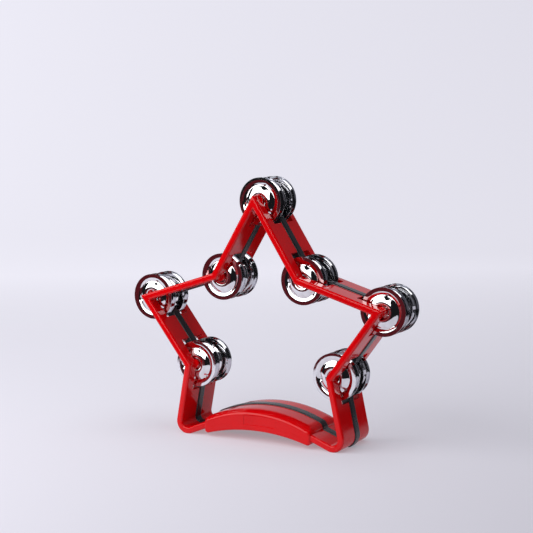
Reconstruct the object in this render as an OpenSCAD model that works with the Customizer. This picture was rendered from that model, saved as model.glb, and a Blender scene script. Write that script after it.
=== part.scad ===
// Star-shaped headless hand tambourine with seven jingle stations and a grip.
// X runs across the star, Y from front to rear, Z up. The origin is on the
// floor, midway between the two feet and midway through the depth.

/* [Star outline] */
// Height of the top tip above the floor
tip_h = 214; // [200:1:228]
// Half of the distance between the two side tips
side_tip_x = 120; // [114:1:126]
// Height of the side tips
side_tip_z = 121.5; // [116:0.5:127]
// Half of the distance between the two upper inner corners
upper_corner_x = 42; // [40:0.5:45]
// Height of the upper inner corners
upper_corner_z = 144; // [140:0.5:148]
// Half of the distance between the two lower inner corners
lower_corner_x = 72.5; // [70:0.5:75]
// Height of the lower inner corners
lower_corner_z = 61; // [59:0.5:64]
// Half of the distance between the legs' outer faces at the floor
foot_x = 86.5; // [84:0.5:90]
// Outer radius of the rounded feet
foot_r = 11; // [9:0.5:13]
// Width of the small flat under each foot
foot_flat = 6; // [4:0.5:8]
// Angle at which the base walls rise from the feet to the grip
base_rise = 21; // [18:1:24]

/* [Shells and centre band] */
// Depth of the frame from its front rim to its rear rim
frame_d = 50; // [46:1:54]
// Thickness of the frame's wall
wall_t = 6; // [4:0.1:8]
// Depth of the black centre band between the two shells
band_d = 8.4; // [7:0.2:9]
// Depth of each jingle slot, on both sides of the band
slot_d = 11.5; // [11.3:0.1:12]
// How far the band and the slots sit behind the middle of the frame
works_shift = 1.2; // [0:0.1:1.5]
// How far the centre band stands proud of the shells
band_proud = 0.9; // [0.5:0.1:1.2]
// Length of a jingle slot along the wall, measured from its pin
slot_reach = 24.5; // [23:0.5:26]

/* [Grip] */
// Half of the grip's length
grip_half = 53; // [50:0.5:54]
// Height of the top of the grip at its middle
grip_top_z = 28.8; // [28:0.2:31]
// Height of the underside of the grip at its middle
grip_under_z = 10.3; // [9:0.1:12]
// Radius of the arched top of the grip
grip_top_r = 125; // [115:1:140]
// Radius of the arched underside of the grip
grip_under_r = 180; // [170:5:220]
// Radius of the grip's upper ends
grip_end_r = 6; // [4:0.5:8]
// Radius of the grip's lower corners
grip_toe_r = 3; // [2.8:0.1:3.6]
// How far the grip stands proud of the frame's rims
grip_proud = 1.5; // [1:0.25:2.5]
// Wall thickness of the hollow grip
grip_wall = 2.4; // [1.8:0.1:2.5]
// Length of the blank recessed panel on the grip's front
panel_l = 32; // [24:1:40]
// Height of the blank recessed panel
panel_h = 8; // [6:0.5:9]
// Depth of the blank recessed panel
panel_depth = 0.4; // [0.2:0.1:0.6]
// Distance of the panel's middle from the grip's middle
panel_x = 4; // [0:1:8]

/* [Pins] */
// Diameter of the steel jingle pins
pin_d = 3; // [2.5:0.1:3.4]
// Radial running clearance between a pin and its sockets
pin_clearance = 0.05; // [0.02:0.01:0.1]
// Plastic left in front of each blind socket
socket_skin = 2; // [1.5:0.1:2.5]
// Outer diameter of the bosses around the pins
boss_d = 8; // [7:0.5:9]
// Length of the bosses on the shells and on the band
boss_l = 1.2; // [0.8:0.1:1.3]
// Distance of the pins at the three tips from the outer wall faces
tip_pin_inset = 3.1; // [2.9:0.1:3.4]

/* [Jingles] */
// Diameter of a jingle
jingle_d = 40.8; // [38:0.2:42]
// Thickness of the jingle's steel sheet
sheet_t = 0.5; // [0.3:0.05:0.7]
// Diameter of the hole in a jingle
hole_d = 4.6; // [4.2:0.1:5]
// How far a jingle hangs below its pin's axis
hang = 0.6; // [0.3:0.05:0.65]
// Height of the ring-shaped dome above the brim
dome_h = 1.6; // [1.4:0.1:1.7]
// Depth of the groove between the brim and the dome
groove_depth = 0.9; // [0.5:0.1:1]
// Distance between the brims of the two jingles in a pair
pair_gap = 6.2; // [5.8:0.1:6.3]

/* [Hidden] */
STATIONS = ["top", "upper_left", "upper_right", "left", "right", "lower_left", "lower_right"];
PLACES = [1, 2, 3, 4];

red = [0.83, 0.04, 0.07];
black = [0.12, 0.13, 0.14];
steel = [0.72, 0.72, 0.72];
chrome = [0.86, 0.86, 0.88];

$fn = 72;
foot_steps = 12;
grip_steps = 24;
beyond = 400;

// Depths, measured from the middle of the frame
rim_y = frame_d / 2;
grip_y = rim_y + grip_proud;
pin_end_y = rim_y - socket_skin - 0.1;

// Depths, measured from the middle of the band and the slots
band_y = band_d / 2;
slot_y = band_y + slot_d;
pair_y = (slot_y + band_y) / 2;

// Corners of the star's right half, from the leg to the top tip
leg_foot = [foot_x, 0];
lower_corner = [lower_corner_x, lower_corner_z];
side_tip = [side_tip_x, side_tip_z];
upper_corner = [upper_corner_x, upper_corner_z];
top_tip = [0, tip_h];

// Rounded foot: a circle that touches the leg's outer face and dips
// below the floor just enough to leave the flat
leg_dir = unit(lower_corner - leg_foot);
leg_lean = atan2(-leg_dir[0], leg_dir[1]);
foot_z = sqrt(pow(foot_r, 2) - pow(foot_flat / 2, 2));
foot_centre_x = foot_x - (foot_r + foot_z * sin(leg_lean)) / cos(leg_lean);
foot_centre = [foot_centre_x, foot_z];

// Centres of the grip's two long arcs, and of the small ones at its right
// end, each at the angle where it touches its long arc
grip_top_centre = [0, grip_top_z - grip_top_r];
grip_under_centre = [0, grip_under_z - grip_under_r];
toe_reach = grip_under_r + grip_toe_r;
end_reach = grip_top_r - grip_end_r;
toe_a = acos((grip_half - grip_toe_r) / toe_reach);
end_a = acos((grip_half - grip_end_r) / end_reach);
toe_centre = grip_under_centre + toe_reach * [cos(toe_a), sin(toe_a)];
end_centre = grip_top_centre + end_reach * [cos(end_a), sin(end_a)];

// Jingle section, as radius and height above the brim
hole_r = hole_d / 2;
jingle_line = [
    [hole_r, 0.4],
    [5.2, 0.4],
    [6.4, dome_h - 0.2],
    [7.4, dome_h],
    [9, dome_h - 0.1],
    [11.4, 0.8],
    [14.2, -groove_depth],
    [15, -groove_depth],
    [17.4, 0],
    [jingle_d / 2, 0]
];

function unit(v) = v / norm(v);
function mirrored(p) = [-p[0], p[1]];
function reversed(list) = [for (i = [len(list) - 1:-1:0]) list[i]];

// Points along an arc, leaving out the first and last few if skip is given
function arc_points(centre, r, from, to, steps, skip = 0) = [
    for (i = [skip:steps - skip])
        let (a = from + (to - from) * i / steps)
            centre + r * [cos(a), sin(a)]
];

// A corner after both of its walls have moved d to the left of the
// direction in which the outline runs, which is inward
function inset_corner(before, corner, after, d) =
    let (a = unit(corner - before), b = unit(after - corner))
        let (na = [-a[1], a[0]], nb = [-b[1], b[0]])
            corner + d * (na + nb) / (1 + na * nb);

// Inner end of a base wall's face, inside the grip's end wall
function base_end(d) =
    let (x = grip_half - grip_wall)
        let (touch = foot_centre + (foot_r - d) * [-sin(base_rise), -cos(base_rise)])
            [x, touch[1] + (touch[0] - x) * tan(base_rise)];

// Right half of the star's outline, moved inward by d, from the grip to the top
function half_outline(d) = concat(
    [base_end(d)],
    arc_points(foot_centre, foot_r - d, -90 - base_rise, leg_lean, foot_steps),
    [
        inset_corner(leg_foot, lower_corner, side_tip, d),
        inset_corner(lower_corner, side_tip, upper_corner, d),
        inset_corner(side_tip, upper_corner, top_tip, d)
    ]
);

// Right end of the grip's outline, grown by g: lower corner and upper end
function grip_end(g) = concat(
    arc_points(toe_centre, grip_toe_r + g, toe_a - 180, 0, 6),
    arc_points(end_centre, grip_end_r + g, 0, end_a, 8)
);

// The grip's outline, grown by g on every side
function grip_points(g) = concat(
    arc_points(grip_under_centre, grip_under_r - g, 180 - toe_a, toe_a, grip_steps, 1),
    grip_end(g),
    arc_points(grip_top_centre, grip_top_r + g, end_a, 180 - end_a, grip_steps, 1),
    [for (p = reversed(grip_end(g))) mirrored(p)]
);

function star_outline(d) = concat(
    half_outline(d),
    [inset_corner(upper_corner, top_tip, mirrored(upper_corner), d)],
    [for (p = reversed(half_outline(d))) mirrored(p)]
);

// Where a station's pin crosses the star, on the right half
function right_pin(level) =
    level == "upper" ? inset_corner(side_tip, upper_corner, top_tip, wall_t / 2)
    : level == "side" ? inset_corner(lower_corner, side_tip, upper_corner, tip_pin_inset)
    : inset_corner(leg_foot, lower_corner, side_tip, wall_t / 2);

function pin_at(station) =
    station == "top" ? inset_corner(upper_corner, top_tip, mirrored(upper_corner), tip_pin_inset)
    : station == "upper_right" ? right_pin("upper")
    : station == "upper_left" ? mirrored(right_pin("upper"))
    : station == "right" ? right_pin("side")
    : station == "left" ? mirrored(right_pin("side"))
    : station == "lower_right" ? right_pin("lower")
    : mirrored(right_pin("lower"));

// Places 1 and 3 dome toward the front, places 2 and 4 toward the rear
function dome_side(place) = place % 2 == 1 ? -1 : 1;
function brim_y(place) =
    works_shift + (place <= 2 ? -pair_y : pair_y) + dome_side(place) * (pair_gap / 2 + sheet_t);

// Extrudes an outline in the XZ plane between two depths
module slab(from_y, to_y) {
    translate([0, to_y, 0])
        rotate([90, 0, 0])
            linear_extrude(to_y - from_y)
                children();
}

module above_floor() {
    intersection() {
        children();
        translate([-beyond / 2, 0])
            square(beyond);
    }
}

// The star's wall, between its outline moved inward by two distances
module star_wall(outer, inner) {
    middle = 2 * (grip_half - grip_wall);
    above_floor()
        difference() {
            polygon(star_outline(outer));
            polygon(star_outline(inner));
            translate([-middle / 2, 0])
                square([middle, grip_top_z]);
        }
}

module grip_outline(g) {
    polygon(grip_points(g));
}

module pin_discs(r) {
    for (s = STATIONS)
        translate(pin_at(s))
            circle(r);
}

// One red half: rim, slotted walls, pin bosses and hollow half of the grip.
// It is drawn as the front half, with its slots and its inner end moved back
// by the given distance.
module half_shell(back) {
    slot_end = -slot_y + back;
    inner_end = -band_y + back;
    difference() {
        union() {
            slab(-rim_y, slot_end)
                star_wall(0, wall_t);
            slab(slot_end, inner_end)
                difference() {
                    star_wall(0, wall_t);
                    pin_discs(slot_reach);
                }
            slab(slot_end - 1, slot_end + boss_l)
                pin_discs(boss_d / 2);
            slab(-grip_y, inner_end)
                grip_outline(0);
        }
        slab(-grip_y + grip_wall, 0)
            grip_outline(-grip_wall);
        slab(-rim_y + socket_skin, 0)
            pin_discs(pin_d / 2 + pin_clearance);
    }
}

// A blank panel that follows the arch of the grip's front
module panel_outline() {
    mid_z = (grip_top_z + grip_under_z) / 2;
    mid_r = mid_z - grip_under_centre[1];
    intersection() {
        difference() {
            translate(grip_under_centre)
                circle(mid_r + panel_h / 2, $fn = 360);
            translate(grip_under_centre)
                circle(mid_r - panel_h / 2, $fn = 360);
        }
        translate([panel_x - panel_l / 2, 0])
            square([panel_l, grip_top_z]);
    }
}

module front_shell() {
    color(red)
        difference() {
            half_shell(works_shift);
            slab(-grip_y - 1, -grip_y + panel_depth)
                panel_outline();
        }
}

module rear_shell() {
    color(red)
        mirror([0, 1, 0])
            half_shell(-works_shift);
}

module centre_band() {
    front = works_shift - band_y;
    rear = works_shift + band_y;
    color(black)
        difference() {
            union() {
                slab(front, rear)
                    star_wall(-band_proud, wall_t + band_proud);
                slab(front, rear)
                    above_floor()
                        grip_outline(band_proud);
                slab(front - boss_l, rear + boss_l)
                    pin_discs(boss_d / 2);
            }
            slab(-frame_d, frame_d)
                pin_discs(pin_d / 2 + pin_clearance);
        }
}

module pin(station) {
    color(steel)
        slab(-pin_end_y, pin_end_y)
            translate(pin_at(station))
                circle(pin_d / 2);
}

// Place 1 is the frontmost jingle of a station and place 4 the rearmost
module jingle(station, place) {
    p = pin_at(station);
    color(chrome)
        translate([p[0], brim_y(place), p[1] - hang])
            rotate([-90 * dome_side(place), 0, 0])
                rotate_extrude()
                    polygon(concat(
                        jingle_line,
                        [for (q = reversed(jingle_line)) q - [0, sheet_t]]
                    ));
}

front_shell();
rear_shell();
centre_band();
for (s = STATIONS) {
    pin(s);
    for (k = PLACES)
        jingle(s, k);
}
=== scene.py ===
import math
import random

import bmesh
import bpy
from mathutils import Matrix, Quaternion, Vector, noise


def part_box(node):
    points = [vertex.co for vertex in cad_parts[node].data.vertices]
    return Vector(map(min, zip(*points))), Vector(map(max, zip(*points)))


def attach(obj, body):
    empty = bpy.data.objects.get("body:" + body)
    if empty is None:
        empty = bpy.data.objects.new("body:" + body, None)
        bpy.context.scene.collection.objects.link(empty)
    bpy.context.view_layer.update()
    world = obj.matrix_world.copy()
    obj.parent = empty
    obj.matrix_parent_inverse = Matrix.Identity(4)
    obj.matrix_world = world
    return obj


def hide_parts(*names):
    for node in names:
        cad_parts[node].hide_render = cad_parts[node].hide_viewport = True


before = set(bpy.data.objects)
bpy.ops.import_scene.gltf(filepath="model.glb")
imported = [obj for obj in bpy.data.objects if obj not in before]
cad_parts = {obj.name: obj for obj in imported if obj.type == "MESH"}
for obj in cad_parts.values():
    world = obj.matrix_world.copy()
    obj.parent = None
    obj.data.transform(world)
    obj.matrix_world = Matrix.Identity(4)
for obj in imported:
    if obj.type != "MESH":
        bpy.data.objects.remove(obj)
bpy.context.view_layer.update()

MM = 0.001
STATIONS = ("top", "upper_left", "upper_right", "left", "right", "lower_left", "lower_right")
PLACES = (1, 2, 3, 4)

# Star outline, as in the CAD
SHELL_LOW, SHELL_HIGH = (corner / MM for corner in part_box("front_shell"))
TOP_TIP = Vector((0, SHELL_HIGH.z))
SIDE_TIP = Vector((SHELL_HIGH.x, 121.5))
UPPER_CORNER = Vector((42, 144))
LOWER_CORNER = Vector((72.5, 61))
LEG_FOOT = Vector((86.5, 0))
FOOT_R = 11
FOOT_FLAT = 6
BASE_RISE = math.radians(21)
FOOT_STEPS = 16

# Shells and band, as in the CAD
WALL_T = 6
RIM_Y = 25
BAND_FRONT = SHELL_HIGH.y
BAND_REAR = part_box("rear_shell")[0].y / MM
BAND_Y = (BAND_REAR - BAND_FRONT) / 2
WORKS_SHIFT = (BAND_REAR + BAND_FRONT) / 2
SLOT_Y = BAND_Y + 11.5
BAND_PROUD = 0.9
SLOT_REACH = 24.5
BOSS_R = 4
BOSS_L = 1.2
SOCKET_R = 1.55
PIN_END_PLAY = 0.1
SOCKET_END_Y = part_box("pin_top")[1].y / MM + PIN_END_PLAY

# Grip, as in the CAD
GRIP_Y = -SHELL_LOW.y
GRIP_HALF = 53
GRIP_WALL = 2.4
GRIP_TOP_Z = 28.8
GRIP_TOP_R = 125
GRIP_UNDER_Z = 10.3
GRIP_UNDER_R = 180
GRIP_TOP_CENTRE = Vector((0, GRIP_TOP_Z - GRIP_TOP_R))
GRIP_UNDER_CENTRE = Vector((0, GRIP_UNDER_Z - GRIP_UNDER_R))
GRIP_END_R = 6
GRIP_TOE_R = 3
PANEL_X = (-12, 20)
PANEL_H = 8
PANEL_DEPTH = 0.4

# Detail of the Blender pieces
BOSS_ROOT = 1
BOSS_EDGE = 0.3
DISC_SIDES = 48
FLOOR_SIZE = 400
GRIP_STEPS = 40
GRIP_TOE_STEPS = 8
GRIP_END_STEPS = 12
PANEL_FLARE = 0.3
PANEL_STEPS = 24

# Moulded edges. A corner flatter than STRAIGHT_ANGLE, in degrees, stays as it is.
STRAIGHT_ANGLE = 150
TIP_R = 1.0
NOTCH_R = 2.2
CORNER_STEPS = 6
RIM_EDGE_R = 1.9
SLOT_EDGE_R = 0.35
BAND_EDGE_R = 1.2
GRIP_TOP_EDGE_R = 4.7
GRIP_EDGE_DEPTH = 2.1
GRIP_END_EDGE_R = 2.2
GRIP_UNDER_EDGE_R = 1.5
MIN_EDGE_R = 0.5
EDGE_STEPS = 6
GRIP_EDGE_STEPS = 10
SLOT_EDGE_ANGLE = 50
PLASTIC_SMOOTH_ANGLE = 32
CURVED_SMOOTH_ANGLE = 60
NORMAL_WEIGHT = 60

# Jingles
JINGLE_R = 20.4
HOLE_R = 2.3
SHEET_T = 0.5
DOME_H = 1.6
HOLE_H = 0.3
RIM_BULGE = 0.1
HOLE_BULGE = 0.12
FACE_STEPS = 3
BACK_STEPS = 2
JINGLE_SEGMENTS = 108
DENT_R = 13.3
DENT_ANGLES = (70, 190, 310)
DENT_WIDTH = 1.8
DENT_DEPTH = 1.1
WAVINESS = 0.015
WAVE_SCALE = 0.16
MAX_TILT = 1.0
MAX_TURN = 3

# Stage, in metres. The table is the part of the floor that polished metal mirrors. The paper glows a little,
# more towards the back and less towards the right.
VIEW_AZIMUTH = math.radians(30.69)
TABLE_FRONT = -0.28
TABLE_REAR = 0.27
BACK_GLOW = (-0.3, 1.2, 0.2, 0.69)
SIDE_GLOW = (-1, 1, 0.09, -0.09)
STAGE_HALF_WIDTH = 3
COVE_R = 0.7
COVE_STEPS = 16

# Camera: the point it looks at in millimetres, its distance in metres, its lens in millimetres
CAMERA_AIM = Vector((-10.2, 14, 148.3))
CAMERA_DISTANCE = 1.1164
CAMERA_LENS = 85.79
CAMERA_ELEVATION = math.radians(6.63)
CAMERA_ROLL = math.radians(-1.01)


# ---------------------------------------------------------------- outlines

def polar(radius, angle):
    return Vector((radius * math.cos(angle), radius * math.sin(angle)))


def mirrored(points):
    return [Vector((-p.x, p.y)) for p in reversed(points)]


def arc(centre, radius, start, end, steps):
    return [centre + polar(radius, start + (end - start) * i / steps) for i in range(steps + 1)]


def inset_corner(before, corner, after, d):
    """A corner after both of its walls have moved d to the left of the outline's run, which is inward."""
    a = (corner - before).normalized()
    b = (after - corner).normalized()
    na = Vector((-a.y, a.x))
    nb = Vector((-b.y, b.x))
    return corner + d * (na + nb) / (1 + na.dot(nb))


def foot_centre():
    leg = LOWER_CORNER - LEG_FOOT
    lean = math.atan2(-leg.x, leg.y)
    z = math.sqrt(FOOT_R ** 2 - (FOOT_FLAT / 2) ** 2)
    return Vector((LEG_FOOT.x - (FOOT_R + z * math.sin(lean)) / math.cos(lean), z)), lean


def base_end(d):
    """Inner end of a base wall's face, inside the grip's end wall."""
    centre, _ = foot_centre()
    touch = centre - (FOOT_R - d) * Vector((math.sin(BASE_RISE), math.cos(BASE_RISE)))
    x = GRIP_HALF - GRIP_WALL
    return Vector((x, touch.y + (touch.x - x) * math.tan(BASE_RISE)))


def star_line(d):
    """The star's outline moved inward by d, from the right end of the grip round to its left end."""
    centre, lean = foot_centre()
    below = -math.pi / 2 - BASE_RISE
    right = [
        base_end(d),
        *arc(centre, FOOT_R - d, below, lean, FOOT_STEPS),
        inset_corner(LEG_FOOT, LOWER_CORNER, SIDE_TIP, d),
        inset_corner(LOWER_CORNER, SIDE_TIP, UPPER_CORNER, d),
        inset_corner(SIDE_TIP, UPPER_CORNER, TOP_TIP, d),
    ]
    top = inset_corner(UPPER_CORNER, TOP_TIP, mirrored([UPPER_CORNER])[0], d)
    return right + [top] + mirrored(right)


def rounded(line):
    """The line with its sharp corners turned into small arcs."""
    done = [line[0]]
    for before, corner, after in zip(line, line[1:], line[2:]):
        back = (before - corner).normalized()
        on = (after - corner).normalized()
        if back.angle(on) > math.radians(STRAIGHT_ANGLE):
            done.append(corner)
            continue
        radius = TIP_R if back.cross(on) < 0 else NOTCH_R
        half = back.angle(on) / 2
        centre = corner + (back + on).normalized() * radius / math.sin(half)
        start = corner + back * radius / math.tan(half) - centre
        end = corner + on * radius / math.tan(half) - centre
        done += [centre + start.slerp(end, i / CORNER_STEPS) for i in range(CORNER_STEPS + 1)]
    return done + [line[-1]]


def pin_place(station):
    low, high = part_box("pin_" + station)
    middle = (low + high) / 2 / MM
    return Vector((middle.x, middle.z))


PINS = [pin_place(station) for station in STATIONS]


def crossings(start, end, centre, radius):
    """Shares of the way from start to end at which that line crosses a circle."""
    along = end - start
    away = start - centre
    a = along.dot(along)
    b = away.dot(along)
    inside = b * b - a * (away.dot(away) - radius ** 2)
    if inside <= 0:
        return []
    roots = [(-b - math.sqrt(inside)) / a, (-b + math.sqrt(inside)) / a]
    return [share for share in roots if 0 < share < 1]


def wall_line(d):
    """(point, whether the stretch after it is slotted) along the wall's face at inset d."""
    line = rounded(star_line(d))
    found = []
    for start, end in zip(line, line[1:]):
        cuts = [0, *sorted(t for pin in PINS for t in crossings(start, end, pin, SLOT_REACH)), 1]
        for here, there in zip(cuts, cuts[1:]):
            middle = start.lerp(end, (here + there) / 2)
            slotted = any((middle - pin).length < SLOT_REACH for pin in PINS)
            found.append((start.lerp(end, here), slotted))
    return found + [(line[-1], False)]


def grip_line():
    """(point, outward direction, radius of its front edge) round the grip's outline."""
    toe_reach = GRIP_UNDER_R + GRIP_TOE_R
    end_reach = GRIP_TOP_R - GRIP_END_R
    toe_a = math.acos((GRIP_HALF - GRIP_TOE_R) / toe_reach)
    end_a = math.acos((GRIP_HALF - GRIP_END_R) / end_reach)
    toe_centre = GRIP_UNDER_CENTRE + polar(toe_reach, toe_a)
    end_centre = GRIP_TOP_CENTRE + polar(end_reach, end_a)

    def stretch(centre, radius, start, end, steps, edges, outward=1):
        found = []
        for i, p in enumerate(arc(centre, radius, start, end, steps)):
            share = i / steps
            smooth = share * share * (3 - 2 * share)
            edge = edges[0] + (edges[1] - edges[0]) * smooth
            found.append((p, outward * (p - centre).normalized(), edge))
        return found

    toe_edges = (GRIP_UNDER_EDGE_R, GRIP_END_EDGE_R)
    end_edges = (GRIP_END_EDGE_R, GRIP_TOP_EDGE_R)
    right = [
        *stretch(toe_centre, GRIP_TOE_R, toe_a - math.pi, 0, GRIP_TOE_STEPS, toe_edges),
        *stretch(end_centre, GRIP_END_R, 0, end_a, GRIP_END_STEPS, end_edges),
    ]
    left = [(Vector((-p.x, p.y)), Vector((-n.x, n.y)), edge) for p, n, edge in reversed(right)]
    under = stretch(
        GRIP_UNDER_CENTRE, GRIP_UNDER_R, math.pi - toe_a, toe_a, GRIP_STEPS, (GRIP_UNDER_EDGE_R,) * 2, -1
    )
    top = stretch(GRIP_TOP_CENTRE, GRIP_TOP_R, end_a, math.pi - end_a, GRIP_STEPS, (GRIP_TOP_EDGE_R,) * 2)
    return under[1:-1] + right + top[1:-1] + left


# ---------------------------------------------------------------- mesh tools

def new_object(name, mesh):
    made = bpy.data.objects.new(name, mesh)
    bpy.context.scene.collection.objects.link(made)
    return made


def finish_bmesh(bm, name):
    """A scratch object, in millimetres, from a closed bmesh."""
    bmesh.ops.recalc_face_normals(bm, faces=bm.faces)
    mesh = bpy.data.meshes.new(name)
    bm.to_mesh(mesh)
    bm.free()
    return new_object(name, mesh)


def evaluated_mesh(made):
    """The object's mesh with its modifiers applied. The object goes."""
    depsgraph = bpy.context.evaluated_depsgraph_get()
    mesh = bpy.data.meshes.new_from_object(made.evaluated_get(depsgraph))
    bpy.data.objects.remove(made)
    return mesh


def combined(base, added, cut):
    """The mesh of base with the scratch objects in added joined on and those in cut taken away."""
    for operation, tools in (("UNION", added), ("DIFFERENCE", cut)):
        for tool in tools:
            step = base.modifiers.new(operation, "BOOLEAN")
            step.operation = operation
            step.object = tool
            step.solver = "EXACT"
    mesh = evaluated_mesh(base)
    for tool in added + cut:
        bpy.data.objects.remove(tool)
    return mesh


def skin(bm, loops):
    """Quads between neighbouring closed loops of vertices, and a cap on the first and the last."""
    for one, two in zip(loops, loops[1:]):
        for i in range(len(one)):
            j = (i + 1) % len(one)
            bm.faces.new((one[i], one[j], two[j], two[i]))
    bm.faces.new(loops[0])
    bm.faces.new(loops[-1])


def shade(mesh, angle=PLASTIC_SMOOTH_ANGLE):
    """Smooth shading that keeps the edges sharper than the angle."""
    mesh.polygons.foreach_set("use_smooth", [True] * len(mesh.polygons))
    mesh.set_sharp_from_angle(angle=math.radians(angle))


def weigh_normals(made):
    weighted = made.modifiers.new("normals", "WEIGHTED_NORMAL")
    weighted.keep_sharp = True
    weighted.weight = NORMAL_WEIGHT


def quarter(radius):
    """(how far in from the side, how far back from the front) round a rounded edge, side first."""
    turns = [math.pi / 2 * i / EDGE_STEPS for i in range(EDGE_STEPS + 1)]
    return [(radius - radius * math.cos(a), radius - radius * math.sin(a)) for a in turns]


# ---------------------------------------------------------------- red shells

def shell_walls(back):
    """The front half's rim and slotted walls, swept round the star, with the slots moved back."""
    slot_end = back - SLOT_Y
    inner_end = back - BAND_Y
    outer = [(inset, behind - RIM_Y) for inset, behind in quarter(RIM_EDGE_R)]
    inner = [(WALL_T - inset, y) for inset, y in reversed(outer)]
    rim = [(0, slot_end), *outer, *inner, (WALL_T, slot_end)]
    section = rim + [(WALL_T, inner_end), (0, inner_end)]
    lines = [wall_line(inset) for inset, _ in section]
    slotted = [slot for _, slot in lines[0]]

    bm = bmesh.new()
    rings = []
    for i in range(len(slotted)):
        rings.append([bm.verts.new((line[i][0].x, y, line[i][0].y)) for line, (_, y) in zip(lines, section)])

    last = len(rim) - 1
    for i, (one, two) in enumerate(zip(rings, rings[1:])):
        around = list(range(last + 1)) if slotted[i] else list(range(len(section)))
        for j, k in zip(around, around[1:] + [0]):
            bm.faces.new((one[j], one[k], two[k], two[j]))
        if i and slotted[i] != slotted[i - 1]:
            bm.faces.new((one[0], one[last], one[last + 1], one[last + 2]))
    bm.faces.new(rings[0])
    bm.faces.new(rings[-1])
    bmesh.ops.delete(bm, geom=[v for v in bm.verts if not v.link_faces], context="VERTS")
    bmesh.ops.recalc_face_normals(bm, faces=bm.faces)

    sharp = [e for e in bm.edges if e.calc_face_angle(0) > math.radians(SLOT_EDGE_ANGLE)]
    bmesh.ops.bevel(
        bm, geom=sharp, offset=SLOT_EDGE_R, segments=2, profile=0.5, affect="EDGES", clamp_overlap=True
    )
    return finish_bmesh(bm, "walls")


def grip_block(front_y, rear_y, grow):
    """The grip's outline, grown, as a block whose rounded front edges reach further back along the top."""
    line = grip_line()
    bm = bmesh.new()
    loops = [[bm.verts.new((p.x + n.x * grow, rear_y, p.y + n.y * grow)) for p, n, _ in line]]
    for step in range(GRIP_EDGE_STEPS + 1):
        a = math.pi / 2 * step / GRIP_EDGE_STEPS
        ring = []
        for p, n, edge_r in line:
            edge = max(edge_r + grow, MIN_EDGE_R)
            depth = edge * (1 + (GRIP_EDGE_DEPTH - 1) * max(n.y, 0))
            out = grow - edge * (1 - math.cos(a))
            ring.append(bm.verts.new((p.x + n.x * out, front_y + depth * (1 - math.sin(a)), p.y + n.y * out)))
        loops.append(ring)
    skin(bm, loops)
    return finish_bmesh(bm, "grip")


def discs(radius, from_y, to_y, edge=0.0):
    """A round disc at each pin, with a chamfered edge at both ends."""
    profile = [(from_y, radius - edge), (from_y + edge, radius), (to_y - edge, radius), (to_y, radius - edge)]
    if not edge:
        profile = [profile[0], profile[-1]]
    bm = bmesh.new()
    for pin in PINS:
        loops = []
        for y, r in profile:
            ring = arc(pin, r, 0, 2 * math.pi, DISC_SIDES)[:-1]
            loops.append([bm.verts.new((p.x, y, p.y)) for p in ring])
        skin(bm, loops)
    return finish_bmesh(bm, "discs")


def floor_block():
    """All that lies under the floor, so that the feet stand flat."""
    bm = bmesh.new()
    bmesh.ops.create_cube(bm, size=FLOOR_SIZE)
    bmesh.ops.translate(bm, vec=(0, 0, -FLOOR_SIZE / 2), verts=bm.verts)
    return finish_bmesh(bm, "floor")


def panel_block():
    """The blank recess in the grip's front, following its arch."""
    middle = (GRIP_TOP_Z + GRIP_UNDER_Z) / 2 - GRIP_UNDER_CENTRE.y
    steps = ((-GRIP_Y - 1, 2 * PANEL_FLARE), (-GRIP_Y, PANEL_FLARE), (-GRIP_Y + PANEL_DEPTH, 0))
    bm = bmesh.new()
    loops = []
    for y, grow in steps:
        low = middle - PANEL_H / 2 - grow
        high = middle + PANEL_H / 2 + grow
        start = math.acos((PANEL_X[0] - grow) / middle)
        end = math.acos((PANEL_X[1] + grow) / middle)
        under = arc(GRIP_UNDER_CENTRE, low, start, end, PANEL_STEPS)
        line = under + arc(GRIP_UNDER_CENTRE, high, end, start, PANEL_STEPS)
        loops.append([bm.verts.new((p.x, y, p.y)) for p in line])
    skin(bm, loops)
    return finish_bmesh(bm, "panel")


def half_shell_mesh(back, with_panel):
    """One red half, drawn as the front one: rim, walls, bosses and hollow half of the grip."""
    slot_end = back - SLOT_Y
    grip = grip_block(-GRIP_Y, back - BAND_Y, 0)
    hollow = grip_block(-GRIP_Y + GRIP_WALL, 0, -GRIP_WALL)
    bosses = discs(BOSS_R, slot_end - BOSS_ROOT, slot_end + BOSS_L, BOSS_EDGE)
    sockets = discs(SOCKET_R, -SOCKET_END_Y, 0)
    cut = [hollow, sockets, floor_block()] + ([panel_block()] if with_panel else [])
    return combined(shell_walls(back), [grip, bosses], cut)


def flipped(mesh):
    """The mesh mirrored front to rear."""
    mesh.transform(Matrix.Scale(-1, 4, (0, 1, 0)))
    mesh.flip_normals()
    return mesh


# ---------------------------------------------------------------- black band

def band_ring():
    """The band's bead, swept round the star."""
    side = [(inset - BAND_PROUD, BAND_FRONT + behind) for inset, behind in quarter(BAND_EDGE_R)]
    far = [(WALL_T - inset, y) for inset, y in reversed(side)]
    half = side + far
    section = half + [(inset, 2 * WORKS_SHIFT - y) for inset, y in reversed(half)]
    lines = [wall_line(inset) for inset, _ in section]
    bm = bmesh.new()
    rings = []
    for i in range(len(lines[0])):
        rings.append([bm.verts.new((line[i][0].x, y, line[i][0].y)) for line, (_, y) in zip(lines, section)])
    skin(bm, rings)
    return finish_bmesh(bm, "bead")


def band_plate():
    """The band's plate between the two halves of the grip, with rounded edges where it stands proud."""
    line = grip_line()
    side = [(-inset, BAND_FRONT + behind) for inset, behind in quarter(BAND_PROUD)]
    section = [*reversed(side), *((inset, 2 * WORKS_SHIFT - y) for inset, y in side)]
    bm = bmesh.new()
    loops = []
    for inset, y in section:
        out = BAND_PROUD + inset
        loops.append([bm.verts.new((p.x + n.x * out, y, p.y + n.y * out)) for p, n, _ in line])
    skin(bm, loops)
    return finish_bmesh(bm, "plate")


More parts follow.
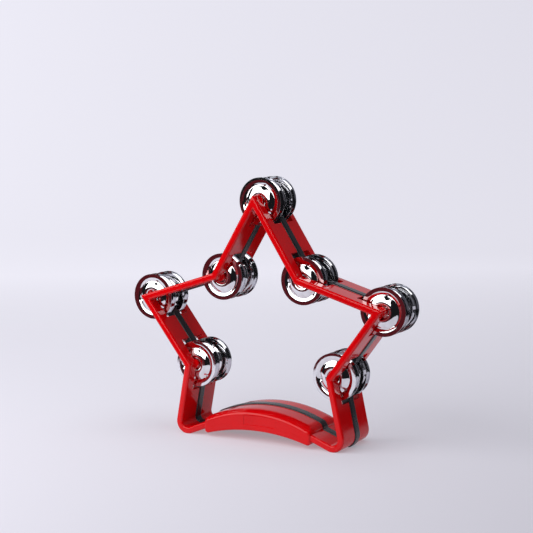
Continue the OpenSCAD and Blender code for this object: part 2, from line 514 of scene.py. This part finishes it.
def band_mesh():
    bosses = discs(BOSS_R, BAND_FRONT - BOSS_L, BAND_REAR + BOSS_L, BOSS_EDGE)
    holes = discs(SOCKET_R, -SLOT_Y, SLOT_Y)
    return combined(band_ring(), [band_plate(), bosses], [holes, floor_block()])


# ---------------------------------------------------------------- jingles

def jingle_knots():
    """(radius, height above the brim) along a jingle's face: cup, ring dome, groove, flat brim."""
    return [
        (HOLE_R, HOLE_H),
        (4.4, 0.32),
        (5.3, 0.5),
        (6.2, DOME_H - 0.4),
        (7.2, DOME_H - 0.04),
        (8.4, DOME_H - 0.05),
        (10.2, 1.15),
        (12.2, 0.25),
        (13.7, -0.68),
        (14.4, -0.88),
        (15.1, -0.7),
        (16.1, -0.34),
        (17.3, -0.07),
        (18.4, 0),
        (JINGLE_R, 0),
    ]


def through(knots, steps):
    """Points on a smooth line through the knots."""
    points = [Vector(knots[0]), *map(Vector, knots), Vector(knots[-1])]
    line = []
    for a, b, c, d in zip(points, points[1:], points[2:], points[3:]):
        for i in range(steps):
            t = i / steps
            square = (2 * a - 5 * b + 4 * c - d) * t ** 2
            cube = (3 * b - a - 3 * c + d) * t ** 3
            line.append((2 * b + (c - a) * t + square + cube) / 2)
    return line + [points[-1]]


def jingle_mesh():
    """One pressed jingle round the Z axis, its dome towards +Z and its brim at height 0, in metres."""
    face = through(jingle_knots(), FACE_STEPS)
    back = [p - Vector((0, SHEET_T)) for p in through(jingle_knots(), BACK_STEPS)]
    rim = [Vector((JINGLE_R + RIM_BULGE, -SHEET_T / 2))]
    hole = [Vector((HOLE_R - HOLE_BULGE, HOLE_H - SHEET_T / 2))]
    section = hole + face + rim + back[::-1]
    bm = bmesh.new()
    rings = []
    for s in range(JINGLE_SEGMENTS):
        turn = 2 * math.pi * s / JINGLE_SEGMENTS
        ring = []
        for radius, height in section:
            x, y = polar(radius, turn)
            ring.append(bm.verts.new((x, y, height + pressing(x, y))))
        rings.append(ring)
    count = len(section)
    for one, two in zip(rings, rings[1:] + rings[:1]):
        for j in range(count):
            k = (j + 1) % count
            bm.faces.new((one[j], one[k], two[k], two[j]))
    bmesh.ops.recalc_face_normals(bm, faces=bm.faces)
    bmesh.ops.scale(bm, vec=(MM, MM, MM), verts=bm.verts)
    mesh = bpy.data.meshes.new("jingle")
    bm.to_mesh(mesh)
    bm.free()
    shade(mesh, CURVED_SMOOTH_ANGLE)
    return mesh


def pressing(x, y):
    """How far the sheet lies off its true shape: three punched dents and a slight waviness."""
    lift = WAVINESS * noise.noise(Vector((x, y, 3.1)) * WAVE_SCALE)
    for angle in DENT_ANGLES:
        dent = polar(DENT_R, math.radians(angle))
        near = math.hypot(x - dent.x, y - dent.y) / DENT_WIDTH
        lift -= DENT_DEPTH * math.exp(-near * near)
    return lift


def place_jingle(mesh, station, place, chance):
    """A jingle in place of its CAD node, turned and tilted a little on its pin."""
    node = f"jingle_{station}_{place}"
    low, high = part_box(node)
    faces_front = place % 2 == 1
    brim_y = low.y + DOME_H * MM if faces_front else high.y - DOME_H * MM
    middle = (low + high) / 2
    turn = math.radians(chance.uniform(-MAX_TURN, MAX_TURN))
    tilt = math.radians(chance.uniform(0, MAX_TILT))
    towards = chance.uniform(0, 2 * math.pi)
    made = new_object("chrome_" + node, mesh)
    upright = Matrix.Rotation(math.radians(90), 4, "X")
    if not faces_front:
        upright = Matrix.Rotation(math.pi, 4, "Z") @ upright
    lean = Matrix.Rotation(tilt, 4, Vector((math.cos(towards), 0, math.sin(towards))))
    made.matrix_world = (
        Matrix.Translation((middle.x, brim_y, middle.z)) @ lean @ upright @ Matrix.Rotation(turn, 4, "Z")
    )
    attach(made, node)
    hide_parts(node)


# ---------------------------------------------------------------- materials

class Look:
    """A node material with short names for the nodes that the looks here use."""

    def __init__(self, name):
        self.material = bpy.data.materials.new(name)
        self.material.use_nodes = True
        self.tree = self.material.node_tree
        self.shader = self.tree.nodes["Principled BSDF"]
        self.place = self.tree.nodes.new("ShaderNodeTexCoord").outputs["Object"]

    def link(self, output, target):
        self.tree.links.new(output, target)

    def stretched(self, x, y, z, turn=0.0):
        node = self.tree.nodes.new("ShaderNodeMapping")
        node.inputs["Scale"].default_value = (x, y, z)
        node.inputs["Rotation"].default_value = (0, math.radians(turn), 0)
        self.link(self.place, node.inputs["Vector"])
        return node.outputs["Vector"]

    def along_view(self):
        """(right, depth) over the ground as the camera sees them."""
        node = self.tree.nodes.new("ShaderNodeMapping")
        node.inputs["Rotation"].default_value = (0, 0, -VIEW_AZIMUTH)
        self.link(self.place, node.inputs["Vector"])
        parts = self.tree.nodes.new("ShaderNodeSeparateXYZ")
        self.link(node.outputs["Vector"], parts.inputs["Vector"])
        return parts.outputs["X"], parts.outputs["Y"]

    def noise(self, scale, detail=3.0, at=None, roughness=0.55):
        node = self.tree.nodes.new("ShaderNodeTexNoise")
        node.inputs["Scale"].default_value = scale
        node.inputs["Detail"].default_value = detail
        node.inputs["Roughness"].default_value = roughness
        self.link(at or self.place, node.inputs["Vector"])
        return node.outputs["Fac"]

    def between(self, value, low, high, to_low, to_high):
        node = self.tree.nodes.new("ShaderNodeMapRange")
        for socket, number in zip(("From Min", "From Max", "To Min", "To Max"), (low, high, to_low, to_high)):
            node.inputs[socket].default_value = number
        self.link(value, node.inputs["Value"])
        return node.outputs["Result"]

    def arithmetic(self, operation, one, two):
        node = self.tree.nodes.new("ShaderNodeMath")
        node.operation = operation
        self.link(one, node.inputs[0])
        self.link(two, node.inputs[1])
        return node.outputs["Value"]

    def total(self, one, two):
        return self.arithmetic("ADD", one, two)

    def blend(self, share, one, two):
        node = self.tree.nodes.new("ShaderNodeMix")
        node.data_type = "RGBA"
        node.inputs["A"].default_value = (*one, 1)
        node.inputs["B"].default_value = (*two, 1)
        self.link(share, node.inputs["Factor"])
        return node.outputs["Result"]

    def mottled(self, scale, low, high, one, two):
        """Two colours in soft patches."""
        return self.blend(self.between(self.noise(scale), low, high, 0, 1), one, two)

    def bump(self, height, depth, under=None):
        node = self.tree.nodes.new("ShaderNodeBump")
        node.inputs["Strength"].default_value = 1
        node.inputs["Distance"].default_value = depth * MM
        self.link(height, node.inputs["Height"])
        if under:
            self.link(under, node.inputs["Normal"])
        return node.outputs["Normal"]

    def scratches(self, turn):
        """Thin lines, near 1 where there is a scratch."""
        lines = self.noise(1.0, 2.0, self.stretched(26, 26, 900, turn), 0.5)
        patches = self.noise(30, 2.0)
        thin = self.between(lines, 0.66, 0.74, 0, 1)
        return self.arithmetic("MULTIPLY", thin, self.between(patches, 0.5, 0.62, 0, 1))


def red_plastic():
    """Glossy injection-moulded red plastic with a slight orange peel and fine handling scratches."""
    look = Look("red_plastic")
    shader = look.shader
    shader.inputs["IOR"].default_value = 1.38
    colour = look.mottled(22, 0.35, 0.65, (0.62, 0.001, 0.003), (0.69, 0.002, 0.004))
    look.link(colour, shader.inputs["Base Color"])
    scratches = look.total(look.scratches(20), look.scratches(-48))
    rough = look.total(
        look.between(look.noise(60, 4), 0.3, 0.7, 0.06, 0.11), look.between(scratches, 0, 1, 0, 0.1)
    )
    look.link(rough, shader.inputs["Roughness"])
    peel = look.bump(look.noise(420, 2), 0.012)
    look.link(look.bump(look.between(scratches, 0, 1, 1, 0), 0.002, peel), shader.inputs["Normal"])
    return look.material


def black_plastic():
    """Satin black plastic with a fine moulded grain and rubbed patches."""
    look = Look("black_plastic")
    shader = look.shader
    shader.inputs["IOR"].default_value = 1.49
    colour = look.mottled(40, 0.4, 0.65, (0.012, 0.014, 0.017), (0.021, 0.023, 0.027))
    look.link(colour, shader.inputs["Base Color"])
    look.link(look.between(look.noise(90, 4), 0.3, 0.7, 0.2, 0.32), shader.inputs["Roughness"])
    look.link(look.bump(look.noise(1800, 3), 0.02), shader.inputs["Normal"])
    return look.material


def jingle_chrome():
    """Bright plated steel with faint smudges and hairline marks."""
    look = Look("jingle_chrome")
    shader = look.shader
    shader.inputs["Metallic"].default_value = 1
    colour = look.mottled(160, 0.4, 0.7, (0.86, 0.86, 0.88), (0.77, 0.77, 0.79))
    look.link(colour, shader.inputs["Base Color"])
    hairlines = look.scratches(35)
    rough = look.total(
        look.between(look.noise(240, 4), 0.35, 0.75, 0.035, 0.1), look.between(hairlines, 0, 1, 0, 0.08)
    )
    look.link(rough, shader.inputs["Roughness"])
    look.link(look.bump(look.noise(700, 2), 0.002), shader.inputs["Normal"])
    return look.material


def pin_steel():
    """Drawn steel wire with marks along its length."""
    look = Look("pin_steel")
    shader = look.shader
    shader.inputs["Metallic"].default_value = 1
    drawn = look.noise(1.0, 3, look.stretched(2200, 60, 2200))
    colour = look.blend(look.between(drawn, 0.35, 0.7, 0, 1), (0.6, 0.6, 0.61), (0.42, 0.42, 0.43))
    look.link(colour, shader.inputs["Base Color"])
    look.link(look.between(drawn, 0.3, 0.7, 0.2, 0.38), shader.inputs["Roughness"])
    look.link(look.bump(drawn, 0.01), shader.inputs["Normal"])
    return look.material


# ---------------------------------------------------------------- the object

def place_plastic(name, mesh, node, material):
    mesh.transform(Matrix.Scale(MM, 4))
    mesh.materials.clear()
    mesh.materials.append(material)
    shade(mesh)
    made = new_object(name, mesh)
    weigh_normals(made)
    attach(made, "frame")
    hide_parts(node)


def build_object():
    red = red_plastic()
    place_plastic("front_half", half_shell_mesh(WORKS_SHIFT, True), "front_shell", red)
    place_plastic("rear_half", flipped(half_shell_mesh(-WORKS_SHIFT, False)), "rear_shell", red)
    place_plastic("black_band", band_mesh(), "centre_band", black_plastic())

    mesh = jingle_mesh()
    mesh.materials.append(jingle_chrome())
    chance = random.Random(7)
    steel = pin_steel()
    for station in STATIONS:
        for place in PLACES:
            place_jingle(mesh, station, place, chance)
        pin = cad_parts["pin_" + station]
        pin.data.materials.clear()
        pin.data.materials.append(steel)


# ---------------------------------------------------------------- stage

def paper():
    """Pale paper with a little light of its own, which rises to the back and keeps the backdrop even."""
    look = Look("paper")
    look.shader.inputs["Base Color"].default_value = (0.5, 0.49, 0.54, 1)
    look.shader.inputs["Specular IOR Level"].default_value = 0
    look.shader.inputs["Emission Color"].default_value = (0.93, 0.92, 1, 1)
    right, depth = look.along_view()
    glow = look.total(look.between(depth, *BACK_GLOW), look.between(right, *SIDE_GLOW))
    look.link(glow, look.shader.inputs["Emission Strength"])
    return look.material


def sweep_sheet(name, profile, half_width, material):
    """A sheet swept along X from a (y, z) profile, in metres."""
    vertices = [(x, y, z) for y, z in profile for x in (-half_width, half_width)]
    faces = [(2 * i, 2 * i + 1, 2 * i + 3, 2 * i + 2) for i in range(len(profile) - 1)]
    mesh = bpy.data.meshes.new(name)
    mesh.from_pydata(vertices, [], faces)
    mesh.materials.append(material)
    shade(mesh, CURVED_SMOOTH_ANGLE)
    made = new_object(name, mesh)
    return made


def build_stage():
    """A pale floor that runs up into a backdrop. Only the camera sees the parts away from the table."""
    surface = paper()
    bend = arc(Vector((1.5, COVE_R)), COVE_R, -math.pi / 2, 0, COVE_STEPS)
    sweep_sheet("near_floor", [(TABLE_FRONT, 0), (TABLE_REAR, 0)], STAGE_HALF_WIDTH, surface)
    front = sweep_sheet("front_floor", [(-4, 0), (TABLE_FRONT, 0)], STAGE_HALF_WIDTH, surface)
    rise = [(TABLE_REAR, 0), *((p.x, p.y) for p in bend), (2.2, 3.5)]
    cove = sweep_sheet("cove", rise, STAGE_HALF_WIDTH, surface)
    for far in (front, cove):
        far.visible_glossy = False
        far.visible_diffuse = False


def mirror_card(name, colour, x, y, low, high, half_width):
    """An upright glowing card that nothing but glossy surfaces see."""
    look = Look(name)
    look.shader.inputs["Base Color"].default_value = (0, 0, 0, 1)
    look.shader.inputs["Emission Color"].default_value = (*colour, 1)
    look.shader.inputs["Emission Strength"].default_value = 1
    card = sweep_sheet(name, [(y, low), (y, high)], half_width, look.material)
    card.location.x = x
    card.visible_camera = False
    card.visible_diffuse = False
    card.visible_shadow = False


def build_cards():
    mirror_card("rear_card", (0.54, 0.56, 0.62), -0.6, 1.05, 0, 0.9, 0.45)
    mirror_card("right_card", (0.14, 0.14, 0.16), 0.45, 1.0, 0, 0.9, 0.6)
    # A dim dark-red glowing card in front: a painted reflection of the red plastic, seen in the chrome brims.
    mirror_card("red_reflection_card", (0.09, 0.008, 0.012), -0.75, -1.1, -0.5, 0.13, 0.65)


def area_light(name, place, aim, width, height, power):
    data = bpy.data.lights.new(name, "AREA")
    data.shape = "RECTANGLE"
    data.size = width
    data.size_y = height
    data.energy = power
    light = new_object(name, data)
    light.location = place
    light.rotation_mode = "QUATERNION"
    light.rotation_quaternion = (Vector(aim) - Vector(place)).to_track_quat("-Z", "Y")
    light.visible_camera = False
    return light


def build_lights():
    area_light("key", (-0.3, -0.56, 0.5), (0, 0, 0.12), 1.1, 0.62, 6.2)
    top = area_light("top", (0.3, 0.1, 1.3), (0, 0, 0.1), 1.0, 0.8, 4.5)
    top.visible_glossy = False


def build_world():
    """Pale to the camera, dim light for everything else, and dark where bright metal mirrors it."""
    world = bpy.data.worlds.new("studio")
    bpy.context.scene.world = world
    world.use_nodes = True
    tree = world.node_tree
    ground = tree.nodes["Background"]
    ground.inputs["Color"].default_value = (0.78, 0.78, 0.88, 1)
    ray = tree.nodes.new("ShaderNodeLightPath")
    soft = tree.nodes.new("ShaderNodeMapRange")
    soft.inputs["To Min"].default_value = 0.012
    soft.inputs["To Max"].default_value = 0.3
    tree.links.new(ray.outputs["Is Diffuse Ray"], soft.inputs["Value"])
    strength = tree.nodes.new("ShaderNodeMapRange")
    strength.inputs["To Max"].default_value = 1
    tree.links.new(ray.outputs["Is Camera Ray"], strength.inputs["Value"])
    tree.links.new(soft.outputs["Result"], strength.inputs["To Min"])
    tree.links.new(strength.outputs["Result"], ground.inputs["Strength"])


def build_camera():
    back = Vector((
        math.sin(VIEW_AZIMUTH) * math.cos(CAMERA_ELEVATION),
        -math.cos(VIEW_AZIMUTH) * math.cos(CAMERA_ELEVATION),
        math.sin(CAMERA_ELEVATION),
    ))
    data = bpy.data.cameras.new("camera")
    data.lens = CAMERA_LENS
    camera = new_object("camera", data)
    camera.location = CAMERA_AIM * MM + back * CAMERA_DISTANCE
    camera.rotation_mode = "QUATERNION"
    camera.rotation_quaternion = (-back).to_track_quat("-Z", "Y") @ Quaternion((0, 0, 1), CAMERA_ROLL)
    bpy.context.scene.camera = camera


build_object()
build_stage()
build_cards()
build_lights()
build_world()
build_camera()
bpy.context.scene.view_settings.view_transform = "Standard"
